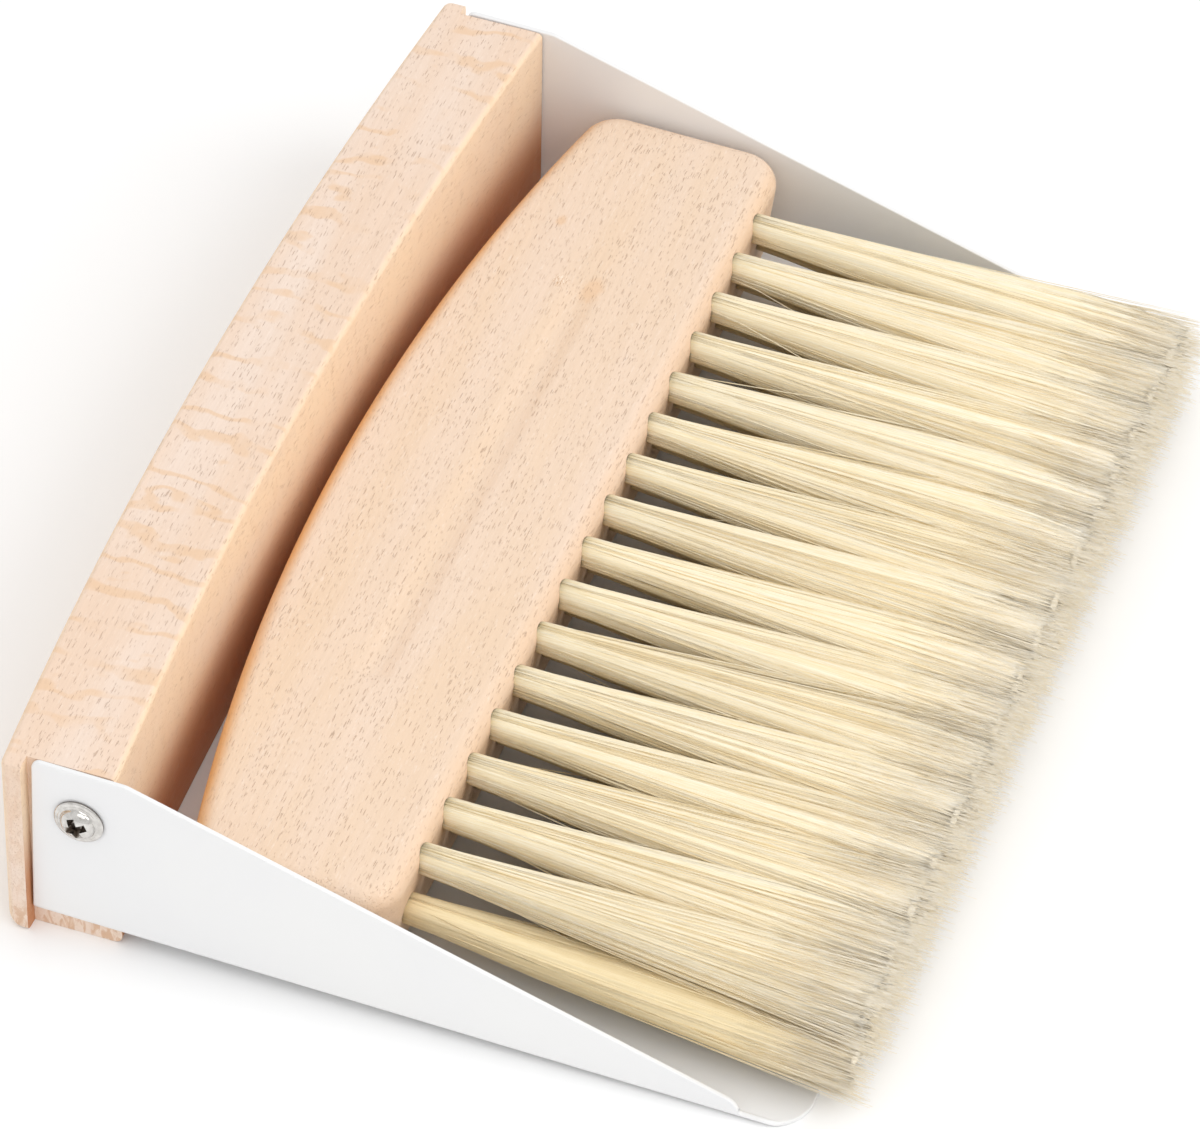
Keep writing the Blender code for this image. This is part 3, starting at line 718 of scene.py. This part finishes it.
def screw_profile():
    """(radius, height) points of the washer head and its shank, top to bottom."""
    dome = [(0.0, DOME_TOP)]
    for radius, rise in arc((0.0, 0.0), 1.0, 84, 6, 13):
        dome.append((DOME_RADIUS * radius, DOME_FOOT + (DOME_TOP - DOME_FOOT) * rise))
    fillet = [(DOME_RADIUS + 0.1 * MM, 0.86 * MM), (DOME_RADIUS + 0.3 * MM, 0.82 * MM),
              (4.05 * MM, 0.80 * MM)]
    flange = [(4.15 * MM, 0.72 * MM), (4.55 * MM, 0.68 * MM), (4.78 * MM, 0.58 * MM),
              (FLANGE_RADIUS, 0.40 * MM), (FLANGE_RADIUS, 0.15 * MM), (4.8 * MM, 0.0)]
    shank = [(SHANK_RADIUS, 0.0), (SHANK_RADIUS, 3 * MM - SHANK_LENGTH), (0.0, -SHANK_LENGTH)]
    return dome + fillet + flange + shank


def build_screw(name, node, side, material):
    bm = bmesh.new()
    rings = []
    for radius, height in screw_profile():
        if radius < 1e-7:
            rings.append([bm.verts.new((0, 0, height))])
            continue
        ring = []
        for k in range(SCREW_STEPS):
            angle = 2.0 * math.pi * k / SCREW_STEPS
            ring.append(bm.verts.new((radius * math.cos(angle), radius * math.sin(angle), height)))
        rings.append(ring)
    for upper, lower in zip(rings, rings[1:]):
        for k in range(SCREW_STEPS):
            n = (k + 1) % SCREW_STEPS
            if len(upper) == 1:
                bm.faces.new((upper[0], lower[k], lower[n]))
            elif len(lower) == 1:
                bm.faces.new((upper[k], lower[0], upper[n]))
            else:
                bm.faces.new((upper[k], lower[k], lower[n], upper[n]))
    outside = side * (PAN_HALF + 0.1 * MM)
    place = TRAY @ Matrix.Translation((outside, -SCREW_DEPTH, SCREW_HEIGHT))
    place = place @ Matrix.Rotation(side * math.radians(90), 4, "Y")
    bm.transform(place)
    screw = new_object(name, mesh_of(name, bm), material)
    arms = []
    for k in (1, 2):
        arm = bmesh.new()
        bmesh.ops.create_cube(arm, size=1.0)
        bmesh.ops.scale(arm, vec=(RECESS_SPAN, RECESS_ARM, RECESS_TALL), verts=arm.verts)
        for vert in arm.verts:
            if vert.co.z < 0.0:
                vert.co.x *= RECESS_TAPER[0]
                vert.co.y *= RECESS_TAPER[1]
        bmesh.ops.translate(arm, vec=(0, 0, RECESS_FOOT + 0.5 * RECESS_TALL), verts=arm.verts)
        arm.transform(place @ Matrix.Rotation(RECESS_TURN + k * math.radians(90), 4, "Z"))
        arms.append(mesh_of("recess_arm", arm))
    carve(screw, arms)
    finish_shading(screw, 32.0)
    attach(screw, "pan")
    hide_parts(node)


# ---------------------------------------------------------------- brush back


def brush_rear(x):
    """How far in front of the datum the brush's bowed rear edge is at x."""
    return BRUSH_BACK + BRUSH_BOW_RADIUS - math.sqrt(BRUSH_BOW_RADIUS ** 2 - x * x)


def brush_outline():
    """The brush back seen from above: straight front, bowed rear, rounded corners."""
    end = brush_rear(BRUSH_HALF)
    corners = [(BRUSH_HALF, -BRUSH_FRONT), (BRUSH_HALF, -end)]
    radii = [FRONT_CORNER, REAR_CORNER]
    inner = BRUSH_HALF - BRUSH_BOW_INSET
    for i in range(ARC_STEPS + 1):
        x = inner - 2.0 * inner * i / ARC_STEPS
        corners.append((x, -brush_rear(x)))
        radii.append(0.0)
    corners += [(-BRUSH_HALF, -end), (-BRUSH_HALF, -BRUSH_FRONT)]
    radii += [REAR_CORNER, FRONT_CORNER]
    return rounded(corners, radii)


def tufts():
    """(name, CAD node, row, seat in the brush's frame, downward slope, length) of every tuft."""
    found = []
    rows = (("upper", UPPER_HEIGHT, UPPER_TIP_HEIGHT), ("lower", LOWER_HEIGHT, LOWER_TIP_HEIGHT))
    for row, height, tip in rows:
        for node in sorted(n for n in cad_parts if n.startswith(f"tuft_{row}_")):
            low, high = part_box(node)
            front = BRUSH_FRONT - (BRUSH_THICK - height) * FRONT_RAKE
            seat = Vector((0.5 * (low.x + high.x), -front, height))
            slope = math.atan2(height - tip, BRISTLE_TIP + seat.y)
            length = (BRISTLE_TIP + seat.y) / math.cos(slope)
            found.append((node.replace("tuft", "fibres"), node, row, seat, slope, length))
    return found


def tuft_matrix(seat, slope):
    return BRUSH @ Matrix.Translation(seat) @ Matrix.Rotation(math.radians(90) + slope, 4, "X")


def groove_mesh():
    """Cutter for the long shallow groove in the brush's top: its bed rises to the top in a soft S."""
    straight = GROOVE_HALF - 0.5 * GROOVE_WIDTH
    bm = bmesh.new()
    rings = []
    for k in range(GROOVE_RINGS + 1):
        share = k / GROOVE_RINGS
        sunk = 0.5 * (1.0 + math.cos(math.pi * share))
        bed = (GROOVE_RIM - GROOVE_SINK) * sunk + GROOVE_RIM * share
        ring = []
        for i in range(2 * GROOVE_RINGS):
            angle = math.pi * (i + 0.5) / GROOVE_RINGS
            reach = 0.5 * GROOVE_WIDTH * share
            x = math.copysign(straight, math.cos(angle)) + reach * math.cos(angle)
            ring.append(bm.verts.new((x, reach * math.sin(angle), bed)))
        rings.append(ring)
    rings.append([bm.verts.new((vert.co.x, vert.co.y, 4 * MM)) for vert in rings[-1]])
    for inner, outer in zip(rings, rings[1:]):
        for i, vert in enumerate(inner):
            bm.faces.new((inner[i - 1], vert, outer[i], outer[i - 1]))
    bm.faces.new(rings[-1])
    bmesh.ops.remove_doubles(bm, verts=bm.verts, dist=1e-7)
    bm.transform(BRUSH @ Matrix.Translation((0, -GROOVE_DEPTH, BRUSH_THICK)))
    return mesh_of("groove", bm)


def build_brush_back(material):
    bm = prism(brush_outline(), 0.0, BRUSH_THICK)
    depth = BRUSH_FRONT - BRUSH_BACK
    for vert in bm.verts:
        share = max(0.0, (-vert.co.y - BRUSH_BACK) / depth)
        vert.co.y += (BRUSH_THICK - vert.co.z) * FRONT_RAKE * share
    round_rim(bm, BRUSH_EDGE, 10)
    bm.transform(BRUSH)
    back = new_object("brush_of_beech", mesh_of("brush_of_beech", bm), material)
    holes = bmesh.new()
    for _, _, _, seat, slope, _ in tufts():
        made = bmesh.ops.create_cone(holes, cap_ends=True, segments=HOLE_SIDES, radius1=HOLE_RADIUS,
                                     radius2=HOLE_RADIUS, depth=HOLE_DEPTH + HOLE_RISE)
        bmesh.ops.translate(holes, vec=(0, 0, 0.5 * (HOLE_RISE - HOLE_DEPTH)), verts=made["verts"])
        bmesh.ops.transform(holes, matrix=tuft_matrix(seat, slope), verts=made["verts"])
    carve(back, [groove_mesh(), mesh_of("tuft_holes", holes)])
    finish_shading(back)
    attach(back, "brush")
    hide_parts("brush_back")


# ---------------------------------------------------------------- bristles


def fan_path(unit, lean, reach, wave):
    """Lines from (count, 2) places in the bundle that fan out along a tuft's local Z.

    Returns an array (line, step, xyz).
    """
    share = np.linspace(0.0, 1.0, FIBRE_STEPS + 1)
    spread = np.array([FAN_SIDE, FAN_TALL])
    start = unit * BUNDLE_RADIUS
    splay = (unit * 0.95 + lean) * spread * reach[:, None]
    along = FIBRE_ROOT + (reach - FIBRE_ROOT)[:, None] * share[None, :]
    free = np.clip(along / reach[:, None], 0.0, 1.0)
    path = np.zeros((len(unit), FIBRE_STEPS + 1, 3))
    for axis in (0, 1):
        path[:, :, axis] = start[:, None, axis] + splay[:, None, axis] * free ** 1.08
        swing = np.sin(math.pi * (wave[:, None, 2] + 2.2 * free))
        path[:, :, axis] += wave[:, None, axis] * swing * free
    path[:, :, 2] = along
    return path


def fibre_lines(rng, length, count):
    """Centre lines of a tuft's fibres and each one's tone."""
    radius = 0.12 + 0.88 * rng.random(count) ** 0.35
    angle = 2.0 * math.pi * rng.random(count)
    unit = np.stack([radius * np.cos(angle), radius * np.sin(angle)], axis=1)
    # Neighbouring fibres lean the same way, which gathers them into locks.
    homes = unit[rng.integers(0, count, LOCKS)]
    nearest = np.argmin(((unit[:, None, :] - homes[None]) ** 2).sum(-1), axis=1)
    lean = LOCK_LEAN * rng.normal(0.0, 1.0, (LOCKS, 2))[nearest]
    lean += rng.normal(0.0, FIBRE_LEAN, (count, 2))
    stray = rng.random(count) < STRAY_SHARE
    lean[stray] += rng.normal(0.0, STRAY_LEAN, (stray.sum(), 2))
    reach = length * (1.0 + rng.normal(0.0, 0.012, count)) - RAGGED * rng.random(count) ** 2
    wave_side = rng.normal(0.0, WAVE, count)
    wave_tall = rng.normal(0.0, WAVE, count)
    wave = np.stack([wave_side, wave_tall, 2.0 * rng.random(count)], axis=1)
    return fan_path(unit, lean, reach, wave), rng.random(count) ** 0.7


def core_rings(rng, length):
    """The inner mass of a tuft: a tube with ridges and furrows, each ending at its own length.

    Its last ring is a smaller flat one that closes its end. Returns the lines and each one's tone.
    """
    angle = 2.0 * math.pi * np.arange(CORE_SIDES) / CORE_SIDES
    turns = np.linspace(0.0, 2.0 * math.pi, CORE_LOCKS + 1)
    lock = np.interp(angle, turns, np.resize(rng.random(CORE_LOCKS), CORE_LOCKS + 1))
    size = 0.905 + 0.022 * lock + 0.030 * rng.random(CORE_SIDES)
    flat = np.stack([np.cos(angle), np.sin(angle)], axis=1)
    unit = size[:, None] * np.sign(flat) * np.abs(flat) ** CORE_SQUARENESS
    furrow = np.arange(CORE_SIDES) % 2
    reach = length * (0.945 + 0.035 * rng.random(CORE_SIDES) - 0.02 * furrow)
    path = fan_path(unit, np.zeros((CORE_SIDES, 2)), reach, np.zeros((CORE_SIDES, 3)))
    share = np.linspace(0.0, 1.0, FIBRE_STEPS + 1)
    thin = 1.0 - 0.25 * np.clip((share - 0.7) / 0.3, 0.0, 1.0) ** 2
    path[:, :, :2] *= thin[None, :, None]
    cap = path[:, -1] * np.array([CORE_CAP_WIDTH, CORE_CAP_WIDTH, 0.0])
    cap[:, 2] = CORE_CAP * length
    return np.concatenate([path, cap[:, None]], axis=1), 0.25 + 0.75 * rng.random(CORE_SIDES)


def tube_parts(path, tone):
    """Points, faces, tones and runs of thin tubes along the lines, tapered at their tips."""
    count, steps, _ = path.shape
    run = np.linspace(0.0, 1.0, steps)
    radius = FIBRE_RADIUS * (1.0 - 0.6 * run ** 6)
    ahead = np.gradient(path, axis=1)
    ahead /= np.linalg.norm(ahead, axis=2, keepdims=True)
    side = np.cross(ahead, np.array([0.0, 1.0, 0.0]))
    side /= np.linalg.norm(side, axis=2, keepdims=True)
    up = np.cross(side, ahead)
    rings = []
    for k in range(FIBRE_SIDES):
        angle = 2.0 * math.pi * (k / FIBRE_SIDES + tone)
        cosine = np.cos(angle)[:, None, None]
        sine = np.sin(angle)[:, None, None]
        rings.append(path + (side * cosine + up * sine) * radius[None, :, None])
    points = np.stack(rings, axis=2).reshape(-1, 3)
    index = np.arange(count * steps * FIBRE_SIDES).reshape(count, steps, FIBRE_SIDES)
    near = index[:, :-1]
    far = index[:, 1:]
    sides = np.stack([near, np.roll(near, -1, axis=2), np.roll(far, -1, axis=2), far], axis=-1)
    faces = sides.reshape(-1, 4).tolist() + index[:, 0, ::-1].tolist() + index[:, -1].tolist()
    tones = np.repeat(tone, steps * FIBRE_SIDES)
    runs = np.tile(np.repeat(run, FIBRE_SIDES), count)
    return points, faces, tones, runs


def core_parts(path, tone):
    """Points, faces, tones and runs of the closed tube whose sides run along the given lines."""
    count, steps, _ = path.shape
    index = np.arange(count * steps).reshape(count, steps)
    beside = np.roll(index, -1, axis=0)
    sides = np.stack([index[:, :-1], beside[:, :-1], beside[:, 1:], index[:, 1:]], axis=-1)
    faces = sides.reshape(-1, 4).tolist() + [index[::-1, 0].tolist(), index[:, -1].tolist()]
    tones = np.repeat(tone, steps)
    runs = np.tile(np.linspace(0.0, 1.0, steps), count)
    return path.reshape(-1, 3), faces, tones, runs


def tuft_mesh(name, parts):
    """One mesh of several (points, faces, tones, runs) groups."""
    points = np.concatenate([part[0] for part in parts])
    faces = []
    first = 0
    for part in parts:
        faces += [[first + i for i in face] for face in part[1]]
        first += len(part[0])
    mesh = bpy.data.meshes.new(name)
    mesh.from_pydata(points.tolist(), [], faces)
    for label, column in (("fibre_tone", 2), ("fibre_run", 3)):
        layer = mesh.attributes.new(label, "FLOAT", "POINT")
        values = np.concatenate([part[column] for part in parts])
        layer.data.foreach_set("value", values.astype(np.float32))
    mesh.polygons.foreach_set("use_smooth", np.ones(len(mesh.polygons), bool))
    mesh.update()
    return mesh


def settle(path, place):
    """Takes tuft lines into the world, over the pan's floor and clear of its side plates."""
    world = path @ place[:3, :3].T + place[:3, 3]
    over = np.abs(world[:, :, 0]) - FAN_LIMIT
    world[:, :, 0] -= np.sign(world[:, :, 0]) * FAN_HELD * np.maximum(0.0, over)
    down = np.array(BRUSH.inverted())
    height = world @ down[2, :3] + down[2, 3]
    world[:, :, 2] += np.maximum(0.0, FIBRE_RADIUS - GAP - height)
    return world


def build_tufts(material):
    for number, (name, node, row, seat, slope, length) in enumerate(tufts()):
        rng = np.random.default_rng(900 + number)
        place = np.array(tuft_matrix(seat, slope))
        lines, tone = fibre_lines(rng, length, FIBRES)
        core, core_tone = core_rings(rng, length)
        # Painted shade: the lower row, under the upper one, takes deeper tones.
        if row == "lower":
            tone = LOWER_ROW_SHADE * tone
            core_tone = LOWER_ROW_SHADE * core_tone
        parts = [tube_parts(settle(lines, place), tone),
                 core_parts(settle(core, place), core_tone)]
        fibres = new_object(name, tuft_mesh(name, parts), material)
        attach(fibres, "brush")
        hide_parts(node)


# ---------------------------------------------------------------- stage

CAMERA_TURN = math.radians(-70.67)
CAMERA_RISE = math.radians(44.2)
CAMERA_ROLL = math.radians(1.0)
CAMERA_DISTANCE = 1.5987
CAMERA_LENS = 244.6
CAMERA_SIDE = Vector((math.sin(CAMERA_TURN) * math.cos(CAMERA_RISE),
                      -math.cos(CAMERA_TURN) * math.cos(CAMERA_RISE),
                      math.sin(CAMERA_RISE)))
FLOOR_HALF = 3.0
FLOOR_DROP = 0.05 * MM  # keeps the floor just under the pan's lip


def build_stage():
    bm = bmesh.new()
    bmesh.ops.create_grid(bm, x_segments=1, y_segments=1, size=FLOOR_HALF)
    bmesh.ops.translate(bm, vec=(0, 0, -FLOOR_DROP), verts=bm.verts)
    material = bpy.data.materials.new("paper_floor")
    nodes = Nodes(material)
    tone = nodes.noise(nodes.stretched((0.002, 0.002, 0.002)), 2.0)
    colour = nodes.mix(tone, *FLOOR_TONES)
    nodes.surface(Base_Color=colour, Roughness=0.9, Specular_IOR_Level=0.1)
    floor = new_object("floor", mesh_of("floor", bm), material)


def area_light(name, spot, size, power):
    """A round white light at the spot, facing the origin."""
    data = bpy.data.lights.new(name, "AREA")
    data.shape = "DISK"
    data.size = size
    data.energy = power
    lamp = bpy.data.objects.new(name, data)
    bpy.context.scene.collection.objects.link(lamp)
    lamp.location = spot
    lamp.rotation_euler = (-Vector(spot)).to_track_quat("-Z", "Y").to_euler()


def build_lights():
    """Even white light from all round, two soft keys, and a dark patch where a camera would stand."""
    world = bpy.data.worlds.new("studio")
    bpy.context.scene.world = world
    world.use_nodes = True
    tree = world.node_tree
    place = tree.nodes.new("ShaderNodeTexCoord")
    toward = tree.nodes.new("ShaderNodeVectorMath")
    toward.operation = "DOT_PRODUCT"
    toward.inputs[1].default_value = CAMERA_SIDE
    shade = tree.nodes.new("ShaderNodeMapRange")
    shade.interpolation_type = "SMOOTHSTEP"
    shade.inputs["From Min"].default_value = 0.955
    shade.inputs["From Max"].default_value = 0.985
    shade.inputs["To Min"].default_value = 1.0
    shade.inputs["To Max"].default_value = 0.03
    tree.links.new(place.outputs["Generated"], toward.inputs[0])
    tree.links.new(toward.outputs["Value"], shade.inputs["Value"])
    tree.links.new(shade.outputs["Result"], tree.nodes["Background"].inputs["Color"])
    tree.nodes["Background"].inputs["Strength"].default_value = 0.85
    area_light("lip_side", (0.15, -1.25, 1.15), 1.2, 8.0)
    area_light("near_side", (-0.85, -0.35, 1.25), 1.2, 5.2)


def build_camera():
    """Looks down on the pan from its near left side, as the set is usually shown."""
    roll = Matrix.Rotation(CAMERA_ROLL, 4, "Z")
    target = Vector((14.6 * MM, REAR_DATUM - 65.6 * MM, 0.0))
    turn = CAMERA_SIDE.to_track_quat("Z", "Y").to_matrix().to_4x4() @ roll
    data = bpy.data.cameras.new("camera")
    data.sensor_width = 36.0
    data.lens = CAMERA_LENS
    data.clip_start = 0.05
    data.clip_end = 20.0
    camera = bpy.data.objects.new("camera", data)
    bpy.context.scene.collection.objects.link(camera)
    back_off = Matrix.Translation((0, 0, CAMERA_DISTANCE))
    camera.matrix_world = Matrix.Translation(target) @ turn @ back_off
    bpy.context.scene.camera = camera
    bpy.context.scene.view_settings.view_transform = "Standard"


build_stage()
build_lights()
build_camera()
BRUSH_TOP = PAN_LIFT + BRUSH_RISE + BRUSH_THICK
BURR = (Vector((59.0 * MM, REAR_DATUM - 47.4 * MM, BRUSH_TOP)), (4.0 * MM, 2.5 * MM), 6.6 * MM)
PIN_KNOT = (Vector((75.5 * MM, REAR_DATUM - 34.8 * MM, BRUSH_TOP)), (1.8 * MM, 1.1 * MM), 0.0)
block_beech = beech("block_beech", BLOCK_PALE, BLOCK_WARM, BLOCK_SIDE_SHADE, (0.85, 0.90), 0.45, banded=True)
brush_beech = beech("brush_beech", BRUSH_PALE, BRUSH_WARM, BRUSH_SIDE_SHADE, (1.0, 0.25), 0.6,
                    knots=(BURR, PIN_KNOT))
build_pan(powder_coat())
build_block(block_beech)
metal = nickel()
build_screw("screw_left", "pan_screw_left", -1, metal)
build_screw("screw_right", "pan_screw_right", 1, metal)
build_brush_back(brush_beech)
build_tufts(straw())
